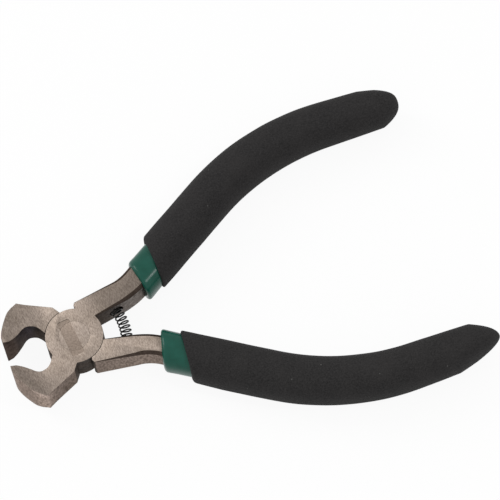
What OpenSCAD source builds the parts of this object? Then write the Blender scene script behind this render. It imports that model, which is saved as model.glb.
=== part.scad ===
// End cutting nippers: two crossed levers on one flush rivet, a small return spring between the
// handles, a dipped sleeve on each handle and a foam grip over each sleeve.
// Both levers are one forging used twice: the rear one is the front one turned over about X, with
// the outer side of its handle ground a little narrower.
// X runs from the jaws to the handles, Y across the handles, Z along the pivot to the front face.
// The origin is on the pivot, in the plane of the joint's back face.

/* [Head] */
// Distance from the pivot to the cutting edges
jaw_reach = 16.7; // [15.5:0.1:18.5]
// Length of each cutting edge, measured along Z
edge_w = 12; // [9:0.2:15]
// Distance from the pivot to the line where the jaws start to widen
flare_x = 12; // [10.5:0.1:13.5]
// Radius that blends the jaws' widening into the flat faces
flare_r = 10; // [2:0.5:14]
// Radius of the round boss of each lever
boss_r = 6.86; // [6.3:0.02:7.2]
// Thickness of the joint and of the bare handles
lever_t = 7.4; // [6.4:0.1:9]
// Gap left between the cutting edges when the jaws are shut
edge_gap = 0.06; // [0.02:0.01:0.2]

/* [Joint] */
// Angle between the levers at rest, where the spring is slack
open_deg = 21.2; // [17:0.2:24]
// Radius of the rivet's shank
shank_r = 2.5; // [1.8:0.05:2.9]
// Radius of the rivet's two flush heads
head_r = 3.65; // [3.2:0.05:4.4]
// Straight rim of each rivet head, along Z
head_rim = 0.35; // [0.2:0.05:0.8]
// Running clearance of the rivet in both levers, on the radius
fit_gap = 0.04; // [0.01:0.01:0.1]
// Clearance between each boss and the recess of the other lever that wraps it
seam_gap = 0.12; // [0.06:0.01:0.3]
// Gap between the two lapped halves, along Z
lap_gap = 0.05; // [0.02:0.01:0.1]

/* [Blank mark] */
// Length of the shallow blank panel pressed into the front of the joint
mark_l = 9.3; // [6:0.1:10]
// Width of the blank panel
mark_w = 3; // [2:0.1:4]
// Corner radius of the blank panel
mark_corner = 0.5; // [0.2:0.1:0.9]
// Depth of the blank panel
mark_depth = 0.12; // [0.05:0.01:0.3]
// Distance from the pivot to the middle of the blank panel, towards the jaws
mark_x = 0.94; // [0:0.02:2]
// Lean of the blank panel towards the handles
mark_lean = 3.8; // [0:0.2:10]

/* [Handles] */
// Distance from the pivot to the shoulder where the handle starts
root_x = 3.45; // [3:0.05:4.5]
// Height of the handle's centre line over the tool's axis, jaws shut
root_y = 4.65; // [4.4:0.05:5.1]
// Width of the handle at the joint
root_w = 5.5; // [5:0.1:6]
// Break of the handle's outer corner at its shoulder
shoulder_break = 0.5; // [0.1:0.1:1]
// Width of the handle from the bend to its end
tang_w = 5.8; // [5.4:0.1:6.6]
// Edge break of the handle at the joint
root_chamfer = 0.1; // [0.05:0.01:0.2]
// Edge break of the handle where it enters the sleeve
tang_chamfer = 0.8; // [0.3:0.05:0.9]
// Depth ground off the outer side of the rear handle where it enters the sleeve
rear_waist = 0.8; // [0:0.1:1.2]
// Distance from the pivot to the corner of the bend's centre lines
bend_x = 16.6; // [15.5:0.1:18]
// Radius of the bend
bend_r = 15; // [10:0.5:20]
// Angle by which the bend splays the handle
splay_deg = 22; // [20:0.5:26]
// Length from the bend's corner to the start of the long curve
straight_l = 30.2; // [27:0.2:36]
// Radius of the long curve
curve_r = 58; // [45:1:75]
// Angle through which the long curve turns back
curve_deg = 33.5; // [26:0.5:36]
// Length from the end of the long curve to the tip of the grip
tail_l = 21; // [17:0.1:25]
// Length from the end of the steel to the tip of the grip
tang_short = 14; // [12:0.5:18]
// Width of the steel at its end
tang_end_w = 4.2; // [3.6:0.1:5]
// Thickness of the steel at its end, along Z
tang_end_t = 5; // [4.4:0.1:6]

/* [Sleeves] */
// Skin of the dipped sleeve over the sides of the handle
skin_w = 1.7; // [1.4:0.05:1.9]
// Distance by which the sleeve's middle lies towards the inner side of the handle
skin_shift = 0.4; // [0:0.05:0.5]
// Skin of the dipped sleeve over the front and back of the handle
skin_t = 0.9; // [0.8:0.05:1.2]
// Distance from the pivot to the sleeve's rim on the handle's centre line, jaws shut
rim_x = 19.9; // [19:0.1:21.5]
// Radius of the sleeve's rounded rim
rim_r = 0.9; // [0.4:0.05:1.1]
// Heading of the line square to the rim, jaws shut
rim_deg = 3.4; // [-4:0.2:10]
// Skin of the sleeve over the end of the steel
sleeve_end = 1.6; // [1:0.1:2.4]

/* [Grips] */
// Width of the foam grip behind its front end
grip_w = 11.2; // [10.8:0.1:12.5]
// Width towards which the foam grip narrows at its tip
grip_end_w = 9.6; // [9:0.1:10.8]
// Thickness of the grip over its width
grip_ratio = 1.08; // [1.05:0.01:1.2]
// Distance from the pivot to the grip's front end on the handle's centre line, jaws shut
grip_x = 25.3; // [23.5:0.1:29]
// Heading of the line square to the grip's front end, jaws shut
grip_deg = -6.2; // [-12:0.2:10]
// Radius of the lip at the grip's front end
lip_r = 0.8; // [0.4:0.05:1.1]
// Length over which the grip's outer side closes to its tip
nose_outer_l = 10; // [8:0.1:11]
// Length over which the grip's inner side closes to its tip
nose_inner_l = 5; // [4:0.1:7]
// Length over which the grip's front and back close to its tip
nose_face_l = 6; // [4:0.1:7]
// Clearance of steel, sleeve and foam inside one another
skin_gap = 0.05; // [0.02:0.01:0.15]

/* [Spring] */
// Distance from the pivot to the middle of the spring's axis at rest
spring_x = 12; // [11.4:0.1:12.4]
// Outer diameter of the spring
spring_d = 2.9; // [2.5:0.1:3.2]
// Diameter of the spring's wire
wire_d = 0.38; // [0.3:0.02:0.46]
// Length of the spring's axis at rest, from end to end
spring_l = 11.4; // [11:0.1:11.8]
// Angle through which the spring bows away from the pivot, from end to end
spring_bow = 44; // [30:1:52]
// Heading of the wire's ends round the spring's axis
wire_start = 205; // [160:5:220]
// Number of curls
curls = 10; // [8:1:11]
// Clearance round the spring in its pockets
pocket_gap = 0.35; // [0.3:0.05:0.5]
// Gap between the wire's ends and the floors of the pockets
seat_gap = 0.1; // [0.06:0.02:0.2]

/* [Hidden] */
// One overrun serves every cut
cut = 1;
half_t = lever_t / 2;
// Sides of one ring of a grip or sleeve, and the fineness of the round cuts
sides = 20;
$fn = 96;
// Sides of the blank panel's corners, and steps round the jaws' blend and the jaws' curves
corner_sides = 24;
flare_steps = 4;
curve_steps = 4;
// Rings round the bend, the straight after it and the long curve of each handle
bend_rings = 8;
straight_rings = 6;
curve_rings = 10;
// Rings round a sleeve's rim, along and round the lip of a grip, and round its tip
rim_rings = 4;
lip_rings = 3;
grip_rings = 24;
nose_rings = 10;
// Rings for each curl of the spring, and sides of its wire
curl_rings = 8;
wire_sides = 6;
// Roundness of the sections: 2 is an ellipse, and more is squarer
grip_power = 2.4;
sleeve_power = 2.5;

// Outlines of the jaw, jaws shut, as shares of the jaw's reach. The outer side runs from the
// cutting edge round the back of the jaw to its corner.
outer_shares = [[-1.008, -0.03], [-1.012, -0.08], [-1, -0.165], [-0.978, -0.245], [-0.945, -0.34],
    [-0.898, -0.45], [-0.838, -0.53], [-0.784, -0.58], [-0.757, -0.606]];
// The corner behind the flat back of the jaw, its shoulder and a point inside the boss
back_shares = [[-0.75, -0.608], [-0.254, -0.474], [-0.24, -0.461], [-0.114, -0.335]];
// The hollow of the mouth, from inside the boss to the cutting edge
hollow_shares = [[-0.353, -0.054], [-0.4, -0.102], [-0.442, -0.149], [-0.487, -0.195], [-0.549, -0.232],
    [-0.642, -0.241], [-0.71, -0.207], [-0.772, -0.138], [-0.844, -0.069], [-0.919, -0.018]];

// A smooth curve through points, with its ends' slopes taken from the end points
function curve_point(a, b, c, d, t) = (b * 2 + (c - a) * t + (a * 2 - b * 5 + c * 4 - d) * t * t
    + (b * 3 - a - c * 3 + d) * t * t * t) / 2;
function smooth(p) = concat([for (i = [0:len(p) - 2], k = [0:curve_steps - 1])
    curve_point(p[max(i - 1, 0)], p[i], p[i + 1], p[min(i + 2, len(p) - 1)], k / curve_steps)],
    [p[len(p) - 1]]);

// The handle's centre line: straight, a bend, straight, the long curve back, and straight
bend_tangent = bend_r * tan(splay_deg / 2);
s_bend = bend_x - root_x - bend_tangent;
s_splay = s_bend + bend_r * splay_deg * PI / 180;
s_curve = s_splay + straight_l - bend_tangent;
s_tail = s_curve + curve_r * curve_deg * PI / 180;
s_tip = s_tail + tail_l;
s_tang = s_tip - tang_short;
p_bend = [root_x + s_bend, root_y];
p_splay = p_bend + turn(0, splay_deg, bend_r);
p_curve = p_splay + (s_curve - s_splay) * dir(splay_deg);
p_tail = p_curve - turn(splay_deg, splay_deg - curve_deg, curve_r);

function dir(a) = [cos(a), sin(a)];
// The way from heading a to heading b round an arc that turns left
function turn(a, b, r) = r * [sin(b) - sin(a), cos(a) - cos(b)];
function heading(s) = s < s_bend ? 0
    : s < s_splay ? splay_deg * (s - s_bend) / (s_splay - s_bend)
    : s < s_curve ? splay_deg
    : s < s_tail ? splay_deg - curve_deg * (s - s_curve) / (s_tail - s_curve)
    : splay_deg - curve_deg;
function place(s) = s < s_bend ? [root_x + s, root_y]
    : s < s_splay ? p_bend + turn(0, heading(s), bend_r)
    : s < s_curve ? p_splay + (s - s_splay) * dir(splay_deg)
    : s < s_tail ? p_curve - turn(splay_deg, heading(s), curve_r)
    : p_tail + (s - s_tail) * dir(heading(s));
// Length along the centre line at a distance x from the pivot, on the straight before the curve
function length_at(x) = s_splay + (x - p_splay[0]) / cos(splay_deg);

// One ring square to the centre line, or slanted along it by a tangent, from a section's points
function ring(s, section, slant = 0) = [for (q = section) let (p = place(s)
    + q[0] * (dir(heading(s) + 90) + slant * dir(heading(s)))) [p[0], p[1], q[1]]];
function power(v, n) = sign(v) * pow(abs(v), n);
function oval(w, t, n) = [for (i = [0:sides - 1]) let (a = 360 * (i + 0.5) / sides)
    [w / 2 * power(cos(a), 2 / n), t / 2 * power(sin(a), 2 / n)]];
// A section that reaches out and in from the centre line, t to each face, with corners broken by c
function broken_box(out, in, t, c) = [[out, t - c], [out - c, t], [c - in, t], [-in, t - c],
    [-in, c - t], [c - in, -t], [out - c, -t], [out, c - t]];

// A closed skin over rings of points, with triangle faces
module skin(rings) {
    n = len(rings[0]);
    last = len(rings) - 1;
    polyhedron(points = [for (r = rings) each r], faces = concat(
        [for (i = [1:n - 2]) [0, i, i + 1]],
        [for (j = [0:last - 1], i = [0:n - 1]) [j * n + i, (j + 1) * n + i, j * n + (i + 1) % n]],
        [for (j = [0:last - 1], i = [0:n - 1])
            [j * n + (i + 1) % n, (j + 1) * n + i, (j + 1) * n + (i + 1) % n]],
        [for (i = [1:n - 2]) [last * n, last * n + i + 1, last * n + i]]));
}

// Stations along the handle: both bends finely, the straights coarsely
function steps(a, b, n) = [for (i = [0:n - 1]) a + (b - a) * i / n];
function handle_stations(from, to) = [for (s = concat([from], steps(s_bend, s_splay, bend_rings),
    steps(s_splay, s_curve, straight_rings), steps(s_curve, s_tail, curve_rings), [s_tail, to]))
    if (s == from || s == to || (s > from + cut && s < to - cut)) s];
// Shares of the way along the visible handle, along its edge break as it grows, and along the part
// that thins inside the grip
break_shares = [1 / 3, 3 / 4];
function limit(v) = min(1, max(0, v));
function along(s) = limit(s / s_splay);
function broken(s) = limit((along(s) - break_shares[0]) / (break_shares[1] - break_shares[0]));
function waisted(s) = limit((along(s) - break_shares[0]) / (1 - break_shares[0]));
function thin(s) = max(0, (s - s_curve) / (s_tang - s_curve));
function mix(a, b, share) = a + (b - a) * share;
function steel_w(s) = mix(mix(root_w, tang_w, along(s)), tang_end_w, thin(s));
function steel_t(s) = mix(lever_t, tang_end_t, thin(s));
function handle_section(s, waist, gap = 0) = broken_box(steel_w(s) / 2 + gap - waist * waisted(s),
    steel_w(s) / 2 + gap, steel_t(s) / 2 + gap, mix(root_chamfer, tang_chamfer, broken(s)));

// One face of the jaws from the side: flat, a blend that the flare's length limits, and the flare
flare_deg = atan((edge_w / 2 - half_t) / (jaw_reach - flare_x));
flare_l = (jaw_reach - flare_x) / cos(flare_deg);
flare_tangent = min(flare_r * tan(flare_deg / 2), flare_l);
flare_blend = flare_tangent / tan(flare_deg / 2);
function flare_point(a) = [flare_tangent - flare_x - flare_blend * sin(a),
    half_t + flare_blend * (1 - cos(a))];
face_side = concat([[0, half_t]], [for (k = [0:flare_steps]) flare_point(flare_deg * k / flare_steps)],
    [[-jaw_reach, edge_w / 2], [-jaw_reach * 2, edge_w / 2]]);
back_side = [for (i = [len(face_side) - 1:-1:0]) [face_side[i][0], -face_side[i][1]]];

// The front lever, jaws shut, with the pivot's middle at the origin
module jaw() {
    intersection() {
        linear_extrude(edge_w, center = true) polygon(jaw_reach * concat(
            [[-1, -edge_gap / 2 / jaw_reach]], smooth(outer_shares), back_shares, smooth(hollow_shares)));
        rotate([90, 0, 0]) linear_extrude(jaw_reach * 2, center = true)
            polygon(concat(face_side, back_side));
    }
}

function shoulder_section(waist) = [for (q = handle_section(0, waist))
    q - [q[0] > 0 ? shoulder_break : 0, 0]];
module handle(waist) {
    skin(concat([ring(0, shoulder_section(waist))],
        [for (s = handle_stations(shoulder_break, s_tang)) ring(s, handle_section(s, waist))]));
}

// What the rivet fills: a shank between two sunk heads
module rivet_space(gap) {
    sunk = head_r - shank_r;
    rotate_extrude() polygon([[0, -half_t], [head_r + gap, -half_t], [head_r + gap, head_rim - half_t],
        [shank_r + gap, head_rim + sunk - half_t], [shank_r + gap, half_t - head_rim - sunk],
        [head_r + gap, half_t - head_rim], [head_r + gap, half_t], [0, half_t]]);
}

// The spring's axis at rest, an arc in the plane half way up the joint. The share runs from -1 at the
// rear end to 1 at the front end.
bow_r = spring_l * 180 / (spring_bow * PI);
function bow_deg(share) = spring_bow / 2 * share;
function bow_place(share) = [spring_x - bow_r * (1 - cos(bow_deg(share))), bow_r * sin(bow_deg(share)), 0];
function bow_way(share) = [-sin(bow_deg(share)), cos(bow_deg(share)), 0];

// The pocket for one end of the spring, square to the handle's inner side
module spring_pocket() {
    mouth = turned(bow_place(1 - spring_d / spring_l));
    floor_y = turned(wire_end(1))[1] + seat_gap;
    translate([mouth[0], 0, 0]) rotate([-90, 0, 0])
        cylinder(r = spring_d / 2 + pocket_gap, h = floor_y);
}

// A place at rest as the front half has it, jaws shut
function turned(p) = [p[0] * cos(open_deg / 2) + p[1] * sin(open_deg / 2),
    p[1] * cos(open_deg / 2) - p[0] * sin(open_deg / 2)];

// The blank panel, sunk into the front of the joint
module blank_mark() {
    x = mark_w / 2 - mark_corner;
    y = mark_l / 2 - mark_corner;
    translate([-mark_x, 0, half_t - mark_depth]) rotate([0, 0, -mark_lean])
        linear_extrude(mark_depth + cut) {
            square([mark_w, y * 2], center = true);
            square([x * 2, mark_l], center = true);
            for (i = [-1, 1], j = [-1, 1]) translate([i * x, j * y])
                circle(r = mark_corner, $fn = corner_sides);
        }
}

module lever(waist) {
    difference() {
        union() {
            jaw();
            handle(waist);
            cylinder(r = boss_r, h = lever_t, center = true);
        }
        translate([0, 0, -half_t - cut]) cylinder(r = boss_r + seam_gap, h = half_t + cut + lap_gap / 2);
        rivet_space(fit_gap);
        spring_pocket();
    }
}

// Turns the front half from jaws shut to its place at rest, on the joint's back face
module front() {
    translate([0, 0, half_t]) rotate([0, 0, open_deg / 2]) children();
}

// The same for the rear half, which is the front half turned over
module rear() {
    translate([0, 0, half_t]) rotate([180, 0, 0]) rotate([0, 0, open_deg / 2]) children();
}

module front_lever() {
    color([0.66, 0.61, 0.57]) front() difference() {
        lever(0);
        blank_mark();
    }
}

module rear_lever() {
    color([0.66, 0.61, 0.57]) rear() lever(rear_waist);
}

module pivot_rivet() {
    color([0.68, 0.63, 0.59]) front() difference() {
        rivet_space(0);
        blank_mark();
    }
}

// The rounded front edge of a sleeve or grip, with the section w by t behind it
function edge_rings(s, r, w, t, n, shift, slant, count) = [for (k = [0:count])
    let (a = 90 * k / count, inset = r * (1 - sin(a)) * 2)
    ring(s + r * (1 - cos(a)), [for (q = oval(w - inset, t - inset, n)) q - [shift, 0]], slant)];

rim_slant = tan(splay_deg - rim_deg);
s_rim = length_at(rim_x);
s_sleeve = s_tang + sleeve_end;
sleeve_w = tang_w + skin_w * 2;
sleeve_t = lever_t + skin_t * 2;
function inwards(section) = [for (q = section) q - [skin_shift, 0]];
function sleeve_oval(s, gap) = inwards(oval(steel_w(min(s, s_tang)) + (skin_w + gap) * 2,
    steel_t(min(s, s_tang)) + (skin_t + gap) * 2, sleeve_power));
function sleeve_rings(from, to, gap) = [for (s = handle_stations(from, to))
    ring(s, sleeve_oval(s, gap))];

module sleeve(waist) {
    difference() {
        skin(concat(
            edge_rings(s_rim, rim_r, sleeve_w, sleeve_t, sleeve_power, skin_shift, rim_slant, rim_rings),
            sleeve_rings(s_rim + sleeve_w / 2, s_sleeve, 0)));
        skin([for (s = handle_stations(s_bend, s_tang + skin_gap))
            ring(s, handle_section(s, waist, skin_gap))]);
    }
}

module front_sleeve() {
    color([0.1, 0.36, 0.28]) front() sleeve(0);
}

module rear_sleeve() {
    color([0.1, 0.36, 0.28]) rear() sleeve(rear_waist);
}

grip_slant = tan(splay_deg - grip_deg);
s_grip = length_at(grip_x);
function grip_share(s) = (s - s_grip) / (s_tip - s_grip);
function grip_width(s) = mix(grip_w, grip_end_w, pow(grip_share(s), 3));
// The rings lean with the front end, and stand square behind it
lean_share = 0.25;
function grip_lean(s) = grip_slant * limit(1 - grip_share(s) / lean_share);
// How sharply the outer side, the inner side and the faces close to the tip: 0.5 is round
nose_powers = [0.5, 0.45, 0.45];
function closing(d, l, n) = pow(limit(d / l), n);
function nose_section(w, d) = [for (q = oval(w, w * grip_ratio, grip_power)) [
    q[0] * (q[0] > 0 ? closing(d, nose_outer_l, nose_powers[0]) : closing(d, nose_inner_l, nose_powers[1])),
    q[1] * closing(d, nose_face_l, nose_powers[2])]];
module grip() {
    difference() {
        skin(concat(
            edge_rings(s_grip, lip_r, grip_w, grip_w * grip_ratio, grip_power, 0, grip_slant, lip_rings),
            [for (s = steps(s_grip + lip_r * 2, s_tip - nose_outer_l, grip_rings))
                ring(s, oval(grip_width(s), grip_width(s) * grip_ratio, grip_power), grip_lean(s))],
            [for (k = [nose_rings:-1:1]) let (d = nose_outer_l * pow(k / nose_rings, 2))
                ring(s_tip - d, nose_section(grip_width(s_tip - d), d))]));
        skin(sleeve_rings(s_rim, s_sleeve + skin_gap, skin_gap));
    }
}

module front_grip() {
    color([0.19, 0.18, 0.18]) front() grip();
}

module rear_grip() {
    color([0.19, 0.18, 0.18]) rear() grip();
}

// The spring: its wire runs straight on at each end for one diameter, with the curls between
coil_r = (spring_d - wire_d) / 2;
coil_share = 1 - wire_d * 2 / spring_l;
coil_points = curls * curl_rings;
function coil_deg(i) = wire_start - 360 * i / curl_rings;
function bow_share(i) = coil_share * (2 * i / coil_points - 1);
function coil_out(i) = let (a = coil_deg(i), b = bow_deg(bow_share(i)))
    [cos(a) * cos(b), cos(a) * sin(b), sin(a)];
function coil_place(i) = bow_place(bow_share(i)) + coil_r * coil_out(i);
function unit(v) = v / norm(v);
function coil_way(i) = unit(coil_place(i + 1) - coil_place(i - 1));
function wire_ring(p, out, way) = let (up = cross(way, out)) [for (k = [0:wire_sides - 1])
    let (a = -360 * k / wire_sides) p + wire_d / 2 * (cos(a) * out + sin(a) * up)];
// The wire's two ends: the side is -1 for the rear one and 1 for the front one
function end_point(side) = (side + 1) / 2 * coil_points;
function wire_end(side) = coil_place(end_point(side)) + side * wire_d * bow_way(coil_share * side);

module return_spring() {
    function end_ring(side) = wire_ring(wire_end(side), coil_out(end_point(side)),
        bow_way(coil_share * side));
    function turn_ring(side) = wire_ring(coil_place(end_point(side)), coil_out(end_point(side)),
        unit(coil_way(end_point(side)) + bow_way(coil_share * side)));
    color([0.05, 0.05, 0.05]) translate([0, 0, half_t]) skin(concat([end_ring(-1)], [turn_ring(-1)],
        [for (i = [1:coil_points - 1]) wire_ring(coil_place(i), coil_out(i), coil_way(i))],
        [turn_ring(1)], [end_ring(1)]));
}

// Least gap of the wire to itself, over points at least three quarters of a curl apart
spring_gap = min([for (i = [0:coil_points], j = [0:coil_points])
    if (j >= i + curl_rings * 3 / 4) norm(coil_place(j) - coil_place(i)) - wire_d]);
echo(least_gap_of_the_spring_to_itself = spring_gap);

front_lever();
rear_lever();
pivot_rivet();
return_spring();
front_sleeve();
rear_sleeve();
front_grip();
rear_grip();
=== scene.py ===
"""The looks of the end cutting nippers: ground and forged steel, vinyl sleeves, foam grips, a spring."""

import math

import bmesh
import bpy
from mathutils import Matrix, Vector, noise

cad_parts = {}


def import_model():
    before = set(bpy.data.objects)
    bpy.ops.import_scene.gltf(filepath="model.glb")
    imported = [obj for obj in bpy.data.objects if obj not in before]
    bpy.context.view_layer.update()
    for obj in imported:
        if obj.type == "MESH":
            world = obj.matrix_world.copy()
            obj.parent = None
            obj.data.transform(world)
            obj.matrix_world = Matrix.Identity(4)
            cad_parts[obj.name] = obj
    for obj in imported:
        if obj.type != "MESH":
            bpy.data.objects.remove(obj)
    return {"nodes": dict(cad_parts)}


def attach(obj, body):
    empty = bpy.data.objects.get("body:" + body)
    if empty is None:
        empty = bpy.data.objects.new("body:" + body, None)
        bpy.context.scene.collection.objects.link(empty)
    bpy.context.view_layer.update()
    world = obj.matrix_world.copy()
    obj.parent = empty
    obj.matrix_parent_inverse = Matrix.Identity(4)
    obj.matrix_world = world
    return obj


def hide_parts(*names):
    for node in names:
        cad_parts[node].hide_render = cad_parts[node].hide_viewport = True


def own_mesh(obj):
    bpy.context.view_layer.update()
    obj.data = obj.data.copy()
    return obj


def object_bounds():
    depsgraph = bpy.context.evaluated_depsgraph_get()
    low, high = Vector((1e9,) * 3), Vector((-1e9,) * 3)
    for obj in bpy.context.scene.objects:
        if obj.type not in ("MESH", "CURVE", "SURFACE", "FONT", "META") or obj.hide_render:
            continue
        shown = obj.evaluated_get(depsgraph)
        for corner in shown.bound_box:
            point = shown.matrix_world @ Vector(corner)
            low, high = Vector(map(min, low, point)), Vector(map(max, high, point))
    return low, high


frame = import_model()
cad_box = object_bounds()

# Lengths of the tool are written in millimetres times MM
MM = 0.001

# The handles' centre line with the jaws shut, as the solids have it: straight on from the root, round
# the splay, straight again, round the curve and out to the tip. S_ is a length along it, P_ a point on it
LEVER_T = 7.4 * MM
OPEN = math.radians(21.2)
ROOT_X, ROOT_Y, ROOT_W = 3.45 * MM, 4.65 * MM, 5.5 * MM
TANG_W, TANG_END_W, TANG_END_T = 5.8 * MM, 4.2 * MM, 5 * MM
BEND_X, BEND_R, SPLAY = 16.6 * MM, 15 * MM, math.radians(22)
STRAIGHT_L, CURVE_R, CURVE = 30.2 * MM, 58 * MM, math.radians(33.5)
TAIL_L, TANG_SHORT = 21 * MM, 14 * MM

S_BEND = BEND_X - ROOT_X - BEND_R * math.tan(SPLAY / 2)
S_SPLAY = S_BEND + BEND_R * SPLAY
S_CURVE = S_SPLAY + STRAIGHT_L - BEND_R * math.tan(SPLAY / 2)
S_TAIL = S_CURVE + CURVE_R * CURVE
S_TIP = S_TAIL + TAIL_L
S_TANG = S_TIP - TANG_SHORT

# Where the two halves stand at rest: the rear one is turned over
LIFT = Matrix.Translation((0, 0, LEVER_T / 2))
HALF_OPEN = Matrix.Rotation(OPEN / 2, 4, "Z")
FRONT = LIFT @ HALF_OPEN
REAR = LIFT @ Matrix.Rotation(math.pi, 4, "X") @ HALF_OPEN


def toward(a):
    return Vector((math.cos(a), math.sin(a)))


def turn(a, b, r):
    """The way from heading a to heading b round an arc that turns left."""
    return r * Vector((math.sin(b) - math.sin(a), math.cos(a) - math.cos(b)))


P_BEND = Vector((ROOT_X + S_BEND, ROOT_Y))
P_SPLAY = P_BEND + turn(0, SPLAY, BEND_R)
P_CURVE = P_SPLAY + (S_CURVE - S_SPLAY) * toward(SPLAY)
P_TAIL = P_CURVE - turn(SPLAY, SPLAY - CURVE, CURVE_R)


def heading(s):
    """The centre line's heading at length s."""
    if s < S_BEND:
        return 0
    if s < S_SPLAY:
        return SPLAY * (s - S_BEND) / (S_SPLAY - S_BEND)
    if s < S_CURVE:
        return SPLAY
    if s < S_TAIL:
        return SPLAY - CURVE * (s - S_CURVE) / (S_TAIL - S_CURVE)
    return SPLAY - CURVE


def place(s):
    """The centre line's point at length s."""
    if s < S_BEND:
        return Vector((ROOT_X + s, ROOT_Y))
    if s < S_SPLAY:
        return P_BEND + turn(0, heading(s), BEND_R)
    if s < S_CURVE:
        return P_SPLAY + (s - S_SPLAY) * toward(SPLAY)
    if s < S_TAIL:
        return P_CURVE - turn(SPLAY, heading(s), CURVE_R)
    return P_TAIL + (s - S_TAIL) * toward(heading(s))


def length_at(x):
    """The length at which the straight stretch passes x."""
    return S_SPLAY + (x - P_SPLAY.x) / math.cos(SPLAY)


def limit(v):
    return min(1, max(0, v))


def mix(a, b, share):
    return a + (b - a) * share


def steps(a, b, n):
    return [a + (b - a) * i / n for i in range(n)]


def ring(s, section, slant=0):
    """A section's points, across and up, in their places round the centre line."""
    across = toward(heading(s) + math.pi / 2) + slant * toward(heading(s))
    middle = place(s)
    return [(*(middle + q[0] * across), q[1]) for q in section]


def rounding(r, count):
    """For each ring of a rounded edge: how far along and how far in it is, and its share of the rise."""
    turns = [math.pi / 2 * k / count for k in range(count + 1)]
    return [(r * (1 - math.cos(a)), r * (1 - math.sin(a)), math.sin(a)) for a in turns]


def power(v, n):
    return math.copysign(abs(v) ** n, v)


SIDES = 64


def oval(w, t, n, shift=0):
    """A section between an ellipse, at n = 2, and its box, at a great n."""
    angles = [2 * math.pi * (i + 0.5) / SIDES for i in range(SIDES)]
    return [(w / 2 * power(math.cos(a), 2 / n) - shift, t / 2 * power(math.sin(a), 2 / n)) for a in angles]


# Meshes


def new_object(name, data):
    obj = bpy.data.objects.new(name, data)
    bpy.context.scene.collection.objects.link(obj)
    return obj


def smooth_mesh(name, bm):
    """A smoothly shaded mesh of what bm holds."""
    mesh = bpy.data.meshes.new(name)
    bm.to_mesh(mesh)
    bm.free()
    mesh.shade_smooth()
    return mesh


def skin(bm, rings, cap_start, cap_end):
    """Faces between rings of points, all with the same number of points."""
    rows = [[bm.verts.new(p) for p in points] for points in rings]
    n = len(rows[0])
    for low, high in zip(rows, rows[1:]):
        for i in range(n):
            bm.faces.new((low[i], low[(i + 1) % n], high[(i + 1) % n], high[i]))
    if cap_start:
        bm.faces.new(rows[0][::-1])
    if cap_end:
        bm.faces.new(rows[-1])
    return rows


def shell(name, outer, inner, matrix):
    """A closed solid with an outer skin and a bore that ends blind, joined round the front edge."""
    bm = bmesh.new()
    front_out = skin(bm, outer, False, True)[0]
    front_in = skin(bm, inner, False, True)[0]
    n = len(front_out)
    for i in range(n):
        j = (i + 1) % n
        bm.faces.new((front_out[i], front_out[j], front_in[j], front_in[i]))
    bmesh.ops.recalc_face_normals(bm, faces=bm.faces)
    bmesh.ops.transform(bm, matrix=matrix, verts=bm.verts)
    return new_object(name, smooth_mesh(name, bm))


def roughen(obj, size, depth, seed):
    """Moves each point along its normal by a smooth noise, so that soft pieces aren't perfect."""
    for v in obj.data.vertices:
        v.co += v.normal * depth * noise.noise(v.co / size + Vector((seed, 0, 0)))


# Materials


def grey(v):
    """A grey as a colour. A colour stays as it is."""
    return v if isinstance(v, tuple) else (v, v, v)


# The places of a Mix node's colour sockets
MIX_FACTOR, MIX_A, MIX_B, MIX_RESULT = 0, 6, 7, 2


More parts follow.
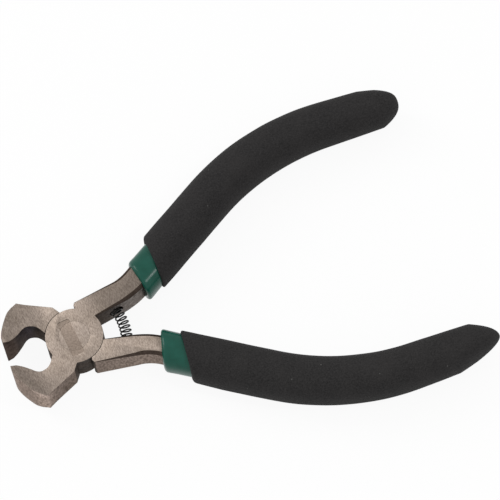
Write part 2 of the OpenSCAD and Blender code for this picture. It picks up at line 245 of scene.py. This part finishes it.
class Nodes:
    """Short names for building one material's nodes."""

    def __init__(self, name):
        self.material = bpy.data.materials.new(name)
        self.material.use_nodes = True
        self.tree = self.material.node_tree
        self.shader = self.tree.nodes["Principled BSDF"]
        self.coords = self.add("ShaderNodeTexCoord").outputs["Object"]

    def add(self, kind, **values):
        """A node with some of its settings or inputs set."""
        node = self.tree.nodes.new(kind)
        for key, value in values.items():
            if hasattr(node, key):
                setattr(node, key, value)
            else:
                node.inputs[key.replace("_", " ")].default_value = value
        return node

    def link(self, a, b):
        self.tree.links.new(a, b)

    def stretched(self, scale, turned=0):
        """The piece's own coordinates, turned about Z and scaled along X, Y and Z."""
        node = self.add("ShaderNodeMapping")
        node.inputs["Scale"].default_value = scale
        node.inputs["Rotation"].default_value = (0, 0, turned)
        self.link(self.coords, node.inputs["Vector"])
        return node.outputs["Vector"]

    def noise(self, scale, detail=3, vector=None, roughness=0.5):
        """Noise with this many waves to the metre, or to the unit of vector."""
        node = self.add("ShaderNodeTexNoise", Scale=scale, Detail=detail, Roughness=roughness)
        self.link(vector or self.coords, node.inputs["Vector"])
        return node.outputs["Fac"]

    def cells(self, scale):
        """The distance to the nearest of this many cells' middles to the metre."""
        node = self.add("ShaderNodeTexVoronoi", Scale=scale)
        self.link(self.coords, node.inputs["Vector"])
        return node.outputs["Distance"]

    def ramp(self, value, stops):
        """A colour for each value, straight from stop to stop."""
        node = self.add("ShaderNodeValToRGB")
        elements = node.color_ramp.elements
        while len(elements) < len(stops):
            elements.new(0.5)
        for element, (at, colour) in zip(elements, stops):
            element.position = at
            element.color = (*grey(colour), 1)
        self.link(value, node.inputs["Fac"])
        return node.outputs["Color"]

    def remap(self, value, low, high, to_low, to_high):
        """The value moved from one range to another."""
        node = self.add("ShaderNodeMapRange")
        for key, number in zip(("From Min", "From Max", "To Min", "To Max"), (low, high, to_low, to_high)):
            node.inputs[key].default_value = number
        self.link(value, node.inputs["Value"])
        return node.outputs["Result"]

    def blend(self, factor, a, b, kind="MIX"):
        """Two colours, each a socket, a tuple or a number, mixed by a factor."""
        node = self.add("ShaderNodeMix", data_type="RGBA", blend_type=kind)
        for key, value in ((MIX_FACTOR, factor), (MIX_A, a), (MIX_B, b)):
            if isinstance(value, (int, float)):
                node.inputs[key].default_value = value
            elif isinstance(value, tuple):
                node.inputs[key].default_value = (*value, 1)
            else:
                self.link(value, node.inputs[key])
        return node.outputs[MIX_RESULT]

    def bumps(self, *layers):
        """Bumps on bumps: each layer is a height, its strength and its depth."""
        last = None
        for height, strength, depth in layers:
            node = self.add("ShaderNodeBump", Strength=strength, Distance=depth)
            self.link(height, node.inputs["Height"])
            if last is not None:
                self.link(last.outputs["Normal"], node.inputs["Normal"])
            last = node
        self.link(last.outputs["Normal"], self.shader.inputs["Normal"])

    def set(self, **values):
        """Sets inputs of the material's shader, each to a value or a socket."""
        for key, value in values.items():
            socket = self.shader.inputs[key.replace("_", " ")]
            if isinstance(value, (int, float, tuple)):
                socket.default_value = value
            else:
                self.link(value, socket)


# Marks in steel: how the fine and the coarse ones are turned, how much larger the coarse ones are and
# what share of the tone is theirs
FINE_TURN, COARSE_TURN = math.radians(8), math.radians(-5)
COARSE_SIZE, COARSE_SHARE = 3, 0.14
STEEL_TINT = (0.5, 0.44, 0.4, 1)


def steel(name, light, dark, grain, depth, rough, painted_shade, lean=0, stain=0.88, stain_scale=160):
    """Steel with fine marks across the tool. Its two tones are light and dark, and painted_shade says what
    share of their red, green and blue is left at places along X, or along a line that leans from X: that
    is painted light and shade. Stains leave the share stain of its light."""
    m = Nodes(name)
    fine = m.noise(1, 4, m.stretched(grain, FINE_TURN), 0.65)
    coarse = m.noise(1, 3, m.stretched(tuple(n / COARSE_SIZE for n in grain), COARSE_TURN), 0.6)
    cloud = m.noise(stain_scale, 3)
    tone = m.ramp(m.blend(COARSE_SHARE, fine, coarse), [(0.39, dark), (0.61, light)])
    stained = m.ramp(cloud, [(0.35, (stain, stain * 0.99, stain * 0.97)), (0.65, 1)])
    first, last = painted_shade[0][0], painted_shade[-1][0]
    apart = m.add("ShaderNodeSeparateXYZ")
    m.link(m.stretched((1, 1, 1), -lean), apart.inputs["Vector"])
    along = m.remap(apart.outputs["X"], first * MM, last * MM, 0, 1)
    left = m.ramp(along, [((x - first) / (last - first), share) for x, share in painted_shade])
    # The tone and its stains, times the painted light and shade
    stained_and_shaded = m.blend(1.0, m.blend(1.0, tone, stained, "MULTIPLY"), left, "MULTIPLY")
    m.set(Base_Color=stained_and_shaded, Metallic=0.85, Roughness=m.remap(coarse, 0.3, 0.7, rough - 0.06, rough + 0.07),
          Specular_Tint=STEEL_TINT)
    m.bumps((fine, 0.75, depth), (cloud, 0.3, depth * 2))
    return m.material


def vinyl():
    """Glossy dipped vinyl, with faint sags in its surface."""
    m = Nodes("dipped_vinyl")
    sag = m.noise(260, 2)
    cloud = m.noise(420, 3)
    m.set(Base_Color=m.ramp(cloud, [(0.3, (0.004, 0.062, 0.042)), (0.7, (0.008, 0.078, 0.055))]),
          Roughness=m.remap(cloud, 0.3, 0.7, 0.2, 0.26), Specular_IOR_Level=0.22)
    m.bumps((sag, 0.08, 0.1 * MM))
    return m.material


def foam():
    """Matte closed-cell foam: fine open pores, a dusty bloom and a few pale specks."""
    m = Nodes("foam")
    pores = m.cells(3600)
    grain = m.noise(2600, 4)
    cloud = m.noise(140, 4)
    base = m.ramp(grain, [(0.3, (0.0105, 0.01, 0.01)), (0.7, (0.0275, 0.026, 0.026))])
    dusty = m.blend(m.remap(cloud, 0.4, 0.7, 0, 0.35), base, (0.03, 0.028, 0.0275))
    specks = m.ramp(m.cells(240), [(0.025, 1), (0.05, 0)])
    m.set(Base_Color=m.blend(specks, dusty, (0.09, 0.088, 0.085)), Roughness=0.88, Specular_IOR_Level=0.22)
    m.bumps((pores, 0.55, 0.12 * MM), (grain, 0.4, 0.1 * MM), (cloud, 0.3, 0.6 * MM))
    return m.material


def spring_steel():
    """Oiled black spring wire, drawn along its length."""
    m = Nodes("spring_wire")
    oil = m.noise(1800, 3)
    m.set(Base_Color=m.ramp(oil, [(0.3, 0.006), (0.7, (0.018, 0.017, 0.016))]),
          Metallic=0.4, Roughness=m.remap(oil, 0.3, 0.7, 0.32, 0.5), Specular_IOR_Level=0.35)
    m.bumps((m.noise(9000, 2), 0.2, 0.02 * MM))
    return m.material


# Each finish's marks to the metre along X, Y and Z, their depth and the finish's roughness
GRIND = (5200, 1500, 2600), 0.04 * MM, 0.42
FORGE = (2100, 2100, 900), 0.05 * MM, 0.48
SCALE = (2600, 2600, 1500), 0.06 * MM, 0.5
BREAK = (2600, 2600, 1500), 0.05 * MM, 0.48

# Each finish's light and dark tone
GROUND_TONES = (0.57, 0.475, 0.405), (0.315, 0.254, 0.213)
RIVET_TONES = (0.603, 0.505, 0.434), (0.354, 0.287, 0.244)
PRESSED_TONES = (0.451, 0.366, 0.307), (0.311, 0.248, 0.203)
FORGED_TONES = (0.656, 0.533, 0.467), (0.273, 0.22, 0.19)
# The sides that face inward or sit round the joint are darkened: painted shade
SHADED_SIDE_TONES = (0.307, 0.282, 0.268), (0.185, 0.17, 0.162)
# The chamfers' tones are near black: painted shade
SHADED_CHAMFER_TONES = (0.067, 0.05, 0.041), (0.041, 0.03, 0.024)

# Painted light and shade: the share of the colour left at places in millimetres. The front face's painted
# shade grows from the joint out to the jaws and along the upper handle, on a line that leans from X
FRONT_LEAN = math.radians(30)
FRONT_PAINTED_SHADE = [
    (-17, 0.54), (-15.3, 0.45), (-14.2, 0.56), (-12.4, 0.64), (-10, 0.72), (-8, 0.76), (-6, 0.82),
    (-4.5, 0.78), (-3, 0.72), (0, 0.76), (2.5, 0.8), (4.7, 0.8), (6.3, 0.73), (7.5, 0.69), (9, 0.56),
    (10.5, 0.48), (13, 0.45), (18, 0.42), (24, 0.42),
]
# Painted light and shade along the rear face
REAR_PAINTED_SHADE = [
    (-17, 0.5), (-13.7, 0.52), (-12, 0.57), (-9.4, 0.62), (-7.7, 0.57), (-6.9, 0.6), (-6, 0.67),
    (-5.2, 0.8), (-4.4, 0.9), (-3, 0.92), (4.5, 0.75), (6, 0.81), (7.5, 0.74), (9, 0.69), (10.4, 0.66),
    (12, 0.71), (16, 0.73), (17.3, 0.69), (18.2, 0.54), (20, 0.5),
]
# Painted light and shade along the forged sides
FORGED_PAINTED_SHADE = [
    (-17, 0.73), (-13.5, 0.7), (-12, 1), (-10.8, 1), (-9.8, 0.68), (-8.5, 0.47), (-6, 0.41),
    (-4.6, 0.4), (0, 0.42), (6, 0.52), (11, 0.55), (13.5, 0.58), (20, 0.53),
]
# Painted shade on those sides, deepest near the joint
SHADED_SIDE_PAINTED_SHADE = [
    (-17, (0.38, 0.32, 0.304)), (-14, (0.34, 0.288, 0.276)), (-12.5, (0.2, 0.205, 0.24)),
    (-9.4, (0.196, 0.2, 0.256)), (-8.5, (0.172, 0.188, 0.216)), (-7.6, (0.108, 0.108, 0.115)),
    (-4, 0.145), (0, 0.27), (3, 0.33), (6.7, 0.32), (8, 0.3), (9.4, 0.38), (10.7, 0.74), (12, 0.91), (16, 1),
]
NO_PAINTED_SHADE = [(-17, 1), (20, 1)]

# These steels carry painted light and shade from the lists above
FRONT_GROUND = steel("front_ground_steel", *GROUND_TONES, *GRIND, FRONT_PAINTED_SHADE, FRONT_LEAN)
REAR_GROUND = steel("rear_ground_steel", *GROUND_TONES, *GRIND, REAR_PAINTED_SHADE)
RIVET_GROUND = steel("rivet_ground_steel", *RIVET_TONES, *GRIND, FRONT_PAINTED_SHADE, FRONT_LEAN)
PRESSED = steel("pressed_steel", *PRESSED_TONES, *SCALE, FRONT_PAINTED_SHADE, FRONT_LEAN)
FORGED = steel("forged_steel", *FORGED_TONES, *FORGE, FORGED_PAINTED_SHADE)
# Dark steel for the inner sides and the sides round the joint: painted shade
SHADED_SIDE = steel("shaded_side_steel", *SHADED_SIDE_TONES, *SCALE, SHADED_SIDE_PAINTED_SHADE, stain=0.6, stain_scale=900)
# Near-black steel for the chamfers: painted shade
SHADED_CHAMFER = steel("shaded_chamfer_steel", *SHADED_CHAMFER_TONES, *BREAK, NO_PAINTED_SHADE)
VINYL = vinyl()
FOAM = foam()
WIRE = spring_steel()

# Levers: the solids' own shape with its edges broken, ground on the faces and forged round the sides.
# Sides that face inward or sit round the joint, and the chamfers, are darkened with painted shade

EDGE_BREAK, EDGE_SEGMENTS = 0.16 * MM, 3
# The share of that break that edges get round the flush rivet and round the blank panel
FLUSH_SHARE = 0.08
PANEL_SHARE = 0.6
# Points this close are one point, faces this level are one face, and edges this bent are broken
WELD, FLAT, SHARP = 0.002 * MM, math.radians(0.6), math.radians(25)
# At least how much of its normal a ground face has along Z, and a chamfer
GROUND_TILT, CHAMFER_TILT = 0.75, 0.3
BOSS_R, HEAD_R, MARK_DEPTH = 6.86 * MM, 3.65 * MM, 0.12 * MM
# How far out from the rivet's head an edge is still its own, and how far out from the joint the sides get
# painted shade
HEAD_RIM, SHADE_REACH = 0.2 * MM, 1.2 * MM
NEAR = 0.02 * MM

# The places of the finishes among a lever's materials
GROUND_FACE, PRESSED_FACE, FORGED_FACE, SHADED_SIDE_FACE, SHADED_CHAMFER_FACE = range(5)


def applied(obj):
    """The object's mesh with its modifiers applied."""
    bpy.context.view_layer.update()
    seen = obj.evaluated_get(bpy.context.evaluated_depsgraph_get())
    mesh = bpy.data.meshes.new_from_object(seen)
    obj.modifiers.clear()
    obj.data = mesh
    return obj


def radius(p):
    """How far a point is from the pivot's axis."""
    return math.hypot(p.x, p.y)


def on_panel(p):
    """Whether a point is on the blank panel's floor or rim."""
    return LEVER_T - MARK_DEPTH - NEAR < p.z < LEVER_T + NEAR and radius(p) < BOSS_R - NEAR * 2


def break_share(edge):
    """How much of the edge break an edge gets: little where pieces are ground flush together."""
    if len(edge.link_faces) != 2 or edge.calc_face_angle(0) < SHARP:
        return 0
    ends = [v.co for v in edge.verts]
    if all(radius(p) < HEAD_R + HEAD_RIM for p in ends):
        return FLUSH_SHARE
    return PANEL_SHARE if all(on_panel(p) for p in ends) else 1


def forging(node, name):
    """A copy of a solid's mesh with its flat faces whole again and its edges broken."""
    mesh = frame["nodes"][node].data.copy()
    bm = bmesh.new()
    bm.from_mesh(mesh)
    bmesh.ops.remove_doubles(bm, verts=bm.verts, dist=WELD)
    bmesh.ops.dissolve_limit(bm, angle_limit=FLAT, verts=bm.verts, edges=bm.edges)
    weight = bm.edges.layers.float.new("bevel_weight_edge")
    for edge in bm.edges:
        edge[weight] = break_share(edge)
    bm.to_mesh(mesh)
    bm.free()
    mesh.name = name
    mesh.materials.clear()
    obj = new_object(name, mesh)
    bevel = obj.modifiers.new("edges", "BEVEL")
    bevel.width = EDGE_BREAK
    bevel.segments = EDGE_SEGMENTS
    bevel.limit_method = "WEIGHT"
    bevel.harden_normals = True
    bevel.use_clamp_overlap = True
    mesh.shade_smooth()
    return applied(obj)


def finish_index(centre, normal):
    """The finish of a lever's face, jaws shut: ground, pressed, forged, a side with painted shade or a
    chamfer with painted shade.
    """
    if abs(normal.z) > GROUND_TILT:
        if abs(centre.z) < LEVER_T / 4:
            return SHADED_SIDE_FACE
        return PRESSED_FACE if abs(centre.z - LEVER_T / 2 + MARK_DEPTH) < NEAR else GROUND_FACE
    # Chamfers away from the joint are near black: painted shade
    if abs(normal.z) > CHAMFER_TILT and abs(centre.x) > BOSS_R:
        return SHADED_CHAMFER_FACE
    if radius(centre) < BOSS_R + SHADE_REACH:
        return SHADED_SIDE_FACE
    # Sides that face the other handle or jaw get painted shade
    inner = normal.y > 0 if centre.x < 0 else normal.y < 0
    return SHADED_SIDE_FACE if inner else FORGED_FACE


def lever(node, body, matrix, ground):
    """One half of the tool, each of its faces with its own finish."""
    obj = forging(node, node + "_forging")
    for material in (ground, PRESSED, FORGED, SHADED_SIDE, SHADED_CHAMFER):
        obj.data.materials.append(material)
    back = matrix.inverted()
    for face in obj.data.polygons:
        face.material_index = finish_index(back @ face.center, back.to_3x3() @ face.normal)
    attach(obj, body)
    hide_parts(node)


lever("front_lever", "front_half", FRONT, FRONT_GROUND)
lever("rear_lever", "rear_half", REAR, REAR_GROUND)


def flush_rivet():
    """The rivet, ground with the levers. The blank panel runs on over its front head."""
    rivet = forging("pivot_rivet", "rivet")
    rivet.data.materials.append(RIVET_GROUND)
    rivet.data.materials.append(PRESSED)
    for face in rivet.data.polygons:
        on_floor = abs(face.center.z - LEVER_T + MARK_DEPTH) < NEAR
        face.material_index = PRESSED_FACE if on_floor else GROUND_FACE
    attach(rivet, "front_half")
    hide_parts("pivot_rivet")


flush_rivet()

# Sleeves

SKIN_W, SKIN_T, SKIN_SHIFT = 1.7 * MM, 0.9 * MM, 0.4 * MM
RIM_X, RIM_R, RIM_BEAD = 19.9 * MM, 0.9 * MM, 0.14 * MM
RIM_SLANT = math.tan(SPLAY - math.radians(3.4))
SLEEVE_END = 1.6 * MM
REAR_WAIST = 0.8 * MM
SLEEVE_POWER = 2.5
GRIP_X = 25.3 * MM
GAP = 0.05 * MM
S_RIM = length_at(RIM_X)
S_GRIP = length_at(GRIP_X)

# The skin goes on this many rim radii from the front, and its bead and slant fade out over these lengths
SKIN_START, BEAD_L, SLANT_L = 1.6, 3 * MM, 5 * MM
# How far under the foam the skin keeps its close rings, and where the bore's first rings stand
UNDER_FOAM, BORE_START = 3 * MM, 3 * MM
RIM_RINGS, SKIN_RINGS, HIDDEN_RINGS, BORE_RINGS = 10, 48, 60, 60
# The bore over the steel, whose edges are broken: its width and thickness as shares, and its power
BORE_W, BORE_T, BORE_POWER = 1.02, 1.01, 7
# The vinyl's unevenness: how long its waves are and how deep
SAG_L, SAG_DEPTH = 4 * MM, 0.03 * MM


def tang_share(s):
    """How far along the thinning stretch of the steel s is."""
    return max(0, (s - S_CURVE) / (S_TANG - S_CURVE))


def steel_w(s):
    return mix(mix(ROOT_W, TANG_W, limit(s / S_SPLAY)), TANG_END_W, tang_share(s))


def steel_t(s):
    return mix(LEVER_T, TANG_END_T, tang_share(s))


def sleeve_section(s, extra):
    """The sleeve's outline, wider and thicker by extra. Past the steel it keeps its size."""
    s = min(s, S_TANG)
    return oval(steel_w(s) + SKIN_W * 2 + extra, steel_t(s) + SKIN_T * 2 + extra, SLEEVE_POWER, SKIN_SHIFT)


def bore_section(s, waist):
    """The sleeve's bore hugs the steel, on the same number of points."""
    return oval(steel_w(s) * BORE_W - waist + GAP * 2, steel_t(s) * BORE_T + GAP * 2, BORE_POWER, waist / 2)


def sleeve_rings():
    """The rounded rim with its slight bead, then the skin to its end."""
    rings = []
    for along, inward, rise in rounding(RIM_R, RIM_RINGS):
        rings.append(ring(S_RIM + along, sleeve_section(S_RIM, RIM_BEAD * rise - inward * 2), RIM_SLANT))
    start = S_RIM + RIM_R * SKIN_START
    hidden = S_GRIP + UNDER_FOAM
    end = S_TANG + SLEEVE_END
    for s in steps(start, hidden, SKIN_RINGS) + steps(hidden, end, HIDDEN_RINGS) + [end]:
        bead = RIM_BEAD * max(0, 1 - (s - start) / BEAD_L) ** 2
        slant = RIM_SLANT * max(0, 1 - (s - start) / SLANT_L)
        rings.append(ring(s, sleeve_section(s, bead), slant))
    return rings


def sleeve(name, node, body, matrix, waist, seed):
    """The vinyl on one handle, whose steel is narrower by waist on its outer side."""
    bore = [ring(S_RIM, bore_section(S_RIM, waist), RIM_SLANT)]
    end = S_TANG + GAP
    bore += [ring(s, bore_section(s, waist)) for s in steps(S_RIM + BORE_START, end, BORE_RINGS) + [end]]
    obj = shell(name, sleeve_rings(), bore, matrix)
    roughen(obj, SAG_L, SAG_DEPTH, seed)
    obj.data.materials.append(VINYL)
    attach(obj, body)
    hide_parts(node)


sleeve("front_sleeve_skin", "front_sleeve", "front_half", FRONT, 0, 3.1)
sleeve("rear_sleeve_skin", "rear_sleeve", "rear_half", REAR, REAR_WAIST, 7.7)

# Grips

GRIP_W, GRIP_END_W, GRIP_RATIO, GRIP_POWER = 11.2 * MM, 9.2 * MM, 1.08, 2.4
LIP_R = 0.8 * MM
GRIP_SLANT = math.tan(SPLAY + math.radians(6.2))
# The share of the grip over which the lip's slant fades out, and the power by which the width goes to
# its end's
SLANT_SHARE, TAPER_POWER = 0.25, 3
# The foam goes on this many lip radii from the front, and its bore's even rings start this far in
FOAM_START, FOAM_BORE_START = 1.5, 5 * MM
LIP_RINGS, FOAM_RINGS, NOSE_RINGS = 8, 110, 26
# The foam's unevenness: how long its waves are and how deep
FOAM_WAVE_L, FOAM_WAVE_DEPTH = 6 * MM, 0.05 * MM

# Each grip's own tip: how much shorter than the solid, then over what length and how sharply its
# outer side, inner side and faces close
FRONT_NOSE = (1.75 * MM, (9 * MM, 0.34), (4.9 * MM, 0.38), (5 * MM, 0.4))
REAR_NOSE = (0, (11.5 * MM, 0.56), (6.2 * MM, 0.5), (6.5 * MM, 0.45))
# How far the rear grip's outer side stands back at its lip, and over what length that fades out
REAR_TRIM, TRIM_L = 0.35 * MM, 8 * MM


def grip_share(s):
    """How far along the grip s is."""
    return (s - S_GRIP) / (S_TIP - S_GRIP)


def closing(d, length, sharpness):
    """The share of its width that a side has at distance d from the tip."""
    return limit(d / length) ** sharpness


def grip_section(s, tip, nose):
    """The foam's outline at length s, each side closing in its own way towards the tip."""
    w = mix(GRIP_W, GRIP_END_W, grip_share(s) ** TAPER_POWER)
    outer, inner, face = (closing(tip - s, *side) for side in nose)
    section = oval(w, w * GRIP_RATIO, GRIP_POWER)
    return [(q[0] * (outer if q[0] > 0 else inner), q[1] * face) for q in section]


def trimmed(s, section, trim):
    """A section with its outer side drawn in near the lip."""
    share = 1 - trim * 2 / GRIP_W * limit(1 - (s - S_GRIP) / TRIM_L)
    return [(q[0] * share if q[0] > 0 else q[0], q[1]) for q in section]


def grip_rings(nose, trim):
    """The rounded lip, the foam's length and the rings of its tip, closer and closer."""
    rings = []
    for along, inward, _ in rounding(LIP_R, LIP_RINGS):
        section = oval(GRIP_W - inward * 2, GRIP_W * GRIP_RATIO - inward * 2, GRIP_POWER)
        rings.append(ring(S_GRIP + along, trimmed(S_GRIP + along, section, trim), GRIP_SLANT))
    tip = S_TIP - nose[0]
    longest = max(side[0] for side in nose[1:])
    stations = steps(S_GRIP + LIP_R * FOAM_START, tip - longest, FOAM_RINGS)
    stations += [tip - longest * (k / NOSE_RINGS) ** 2 for k in range(NOSE_RINGS, 0, -1)]
    for s in stations:
        slant = GRIP_SLANT * limit(1 - grip_share(s) / SLANT_SHARE)
        rings.append(ring(s, trimmed(s, grip_section(s, tip, nose[1:]), trim), slant))
    return rings


def grip(name, node, body, matrix, nose, trim, seed):
    """The foam on one handle, over its sleeve."""
    bore = [ring(S_GRIP, sleeve_section(S_GRIP, GAP * 2), GRIP_SLANT)]
    end = S_TANG + SLEEVE_END + GAP
    for s in steps(S_GRIP + FOAM_BORE_START, end, BORE_RINGS) + [end]:
        bore.append(ring(s, sleeve_section(s, GAP * 2)))
    obj = shell(name, grip_rings(nose, trim), bore, matrix)
    roughen(obj, FOAM_WAVE_L, FOAM_WAVE_DEPTH, seed)
    obj.data.materials.append(FOAM)
    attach(obj, body)
    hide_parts(node)


grip("front_grip_foam", "front_grip", "front_half", FRONT, FRONT_NOSE, 0, 11.3)
grip("rear_grip_foam", "rear_grip", "rear_half", REAR, REAR_NOSE, REAR_TRIM, 17.9)

# Spring

SPRING_X, SPRING_D, WIRE_D, SPRING_L = 12 * MM, 2.9 * MM, 0.38 * MM, 11.4 * MM
BOW, WIRE_START = math.radians(44), math.radians(205)
CURLS, CURL_RINGS, WIRE_SIDES = 10, 28, 12
# What the curls have of the bow. Straight wire has the rest
CURLED = BOW * (1 - WIRE_D * 2 / SPRING_L)


def spring_line():
    """The wire's points on a bowed axis, and the way out from that axis at each: straight on at each
    end for one diameter, with the curls between."""
    coil_r = (SPRING_D - WIRE_D) / 2
    bow_r = SPRING_L / BOW
    count = CURLS * CURL_RINGS
    points, outs = [], []
    for i in range(count + 1):
        a = WIRE_START - 2 * math.pi * i / CURL_RINGS
        b = CURLED / 2 * (2 * i / count - 1)
        middle = Vector((SPRING_X - bow_r * (1 - math.cos(b)), bow_r * math.sin(b), LEVER_T / 2))
        outs.append(Vector((math.cos(a) * math.cos(b), math.cos(a) * math.sin(b), math.sin(a))))
        points.append(middle + coil_r * outs[-1])
    end = CURLED / 2
    first = points[0] - WIRE_D * Vector((math.sin(end), math.cos(end), 0))
    last = points[-1] + WIRE_D * Vector((-math.sin(end), math.cos(end), 0))
    return [first] + points + [last], outs[:1] + outs + outs[-1:]


def spring():
    """One round wire along that line."""
    points, outs = spring_line()
    rings = []
    for i, (p, out) in enumerate(zip(points, outs)):
        along = (points[min(i + 1, len(points) - 1)] - points[max(i - 1, 0)]).normalized()
        up = along.cross(out).normalized()
        out = up.cross(along)
        angles = [2 * math.pi * k / WIRE_SIDES for k in range(WIRE_SIDES)]
        rings.append([p + WIRE_D / 2 * (math.cos(a) * out + math.sin(a) * up) for a in angles])
    bm = bmesh.new()
    skin(bm, rings, True, True)
    bmesh.ops.recalc_face_normals(bm, faces=bm.faces)
    obj = new_object("spring_coil", smooth_mesh("spring_wire", bm))
    obj.data.materials.append(WIRE)
    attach(obj, "spring")
    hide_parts("return_spring")
    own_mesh(obj)


spring()

# Camera: the photograph's own, worked out from the tool's outline. Its turns are in radians

VIEW_TILT, VIEW_SPIN, VIEW_ROLL = -0.40722, 0.20832, -0.13092
VIEW_PLACE = Vector((-41.0266, 21.5115, 753.5151)) * MM
VIEW_LENS, VIEW_SENSOR = 230.42, 36
VIEW_REACH = 20


def camera():
    """Turned and placed as the tool is seen, with Y and Z pointing the way a picture has them."""
    flip = Matrix.Diagonal((1, -1, -1, 1))
    turned = (Matrix.Rotation(VIEW_ROLL, 4, "Z") @ Matrix.Rotation(VIEW_TILT, 4, "X") @ flip
              @ Matrix.Rotation(VIEW_SPIN, 4, "Z"))
    back = turned.transposed()
    data = bpy.data.cameras.new("camera")
    data.lens = VIEW_LENS
    data.sensor_width = VIEW_SENSOR
    data.clip_end = VIEW_REACH
    obj = new_object("camera", data)
    where = back @ -VIEW_PLACE + Vector((0, 0, LEVER_T / 2))
    obj.matrix_world = Matrix.Translation(where) @ back @ flip
    bpy.context.scene.camera = obj


camera()

# Floor, world and lamps, in metres

FLOOR_SIZE = 6
FLOOR_DROP = 0.02 * MM
# How much of the floor is its own white where it is seen straight or in gloss
FLOOR_GLOW = 0.92
# The world's strength as light, and where it is seen straight or in gloss
SKY_LIGHT, SKY_SEEN = 0.75, 1
# Each lamp's place, width and length, and watts. All of them aim at LAMP_AIM
LAMP_AIM = Vector((0.035, 0, 0))
LAMPS = {
    "key": ((-0.45, 0.52, 0.5), (0.35, 0.35), 2.2),
    "streak": ((0.45, -0.23, 0.69), (0.05, 0.17), 0.9),
    "rim": ((-0.23, 0.38, 0.73), (0.03, 0.09), 0.25),
    "dot": ((-0.51, 0.6, 0.38), (0.04, 0.04), 0.22),
}


def background_share(tree):
    """1 for rays that see the background straight, in gloss or through glass."""
    path = tree.nodes.new("ShaderNodeLightPath")
    last = path.outputs["Is Camera Ray"]
    for name in ("Is Glossy Ray", "Is Transmission Ray"):
        node = tree.nodes.new("ShaderNodeMath")
        node.operation = "MAXIMUM"
        tree.links.new(last, node.inputs[0])
        tree.links.new(path.outputs[name], node.inputs[1])
        last = node.outputs[0]
    return last


def floor():
    """A white floor that keeps a faint shadow of the object."""
    mesh = bpy.data.meshes.new("floor")
    size = FLOOR_SIZE / 2
    height = cad_box[0][2] - FLOOR_DROP
    corners = [(x, y, height) for x, y in ((-size, -size), (size, -size), (size, size), (-size, size))]
    mesh.from_pydata(corners, [], [(0, 1, 2, 3)])
    obj = new_object("floor", mesh)
    m = Nodes("floor_paper")
    m.set(Base_Color=m.ramp(m.noise(30, 2), [(0.3, 0.86), (0.7, 0.88)]), Roughness=0.9)
    glow = m.add("ShaderNodeEmission")
    both = m.add("ShaderNodeMixShader")
    share = m.add("ShaderNodeMath", operation="MULTIPLY")
    share.inputs[1].default_value = FLOOR_GLOW
    m.link(background_share(m.tree), share.inputs[0])
    m.link(share.outputs[0], both.inputs[0])
    m.link(m.shader.outputs[0], both.inputs[1])
    m.link(glow.outputs[0], both.inputs[2])
    m.link(both.outputs[0], m.tree.nodes["Material Output"].inputs["Surface"])
    mesh.materials.append(m.material)


def world():
    """A white world, a little dimmer as light than as it is seen."""
    made = bpy.data.worlds.new("studio")
    bpy.context.scene.world = made
    made.use_nodes = True
    tree = made.node_tree
    sky = tree.nodes["Background"]
    sky.inputs["Color"].default_value = (1, 1, 1, 1)
    strength = tree.nodes.new("ShaderNodeMapRange")
    strength.inputs["To Min"].default_value = SKY_LIGHT
    strength.inputs["To Max"].default_value = SKY_SEEN
    tree.links.new(background_share(tree), strength.inputs["Value"])
    tree.links.new(strength.outputs["Result"], sky.inputs["Strength"])


def lamp(name, where, size, watts):
    """A rectangular lamp aimed at the tool."""
    data = bpy.data.lights.new(name, "AREA")
    data.shape = "RECTANGLE"
    data.size, data.size_y = size
    data.energy = watts
    obj = new_object(name, data)
    obj.location = where
    obj.rotation_euler = (LAMP_AIM - Vector(where)).to_track_quat("-Z", "Y").to_euler()


floor()
world()
for name, values in LAMPS.items():
    lamp(name, *values)

bpy.context.scene.view_settings.view_transform = "Standard"
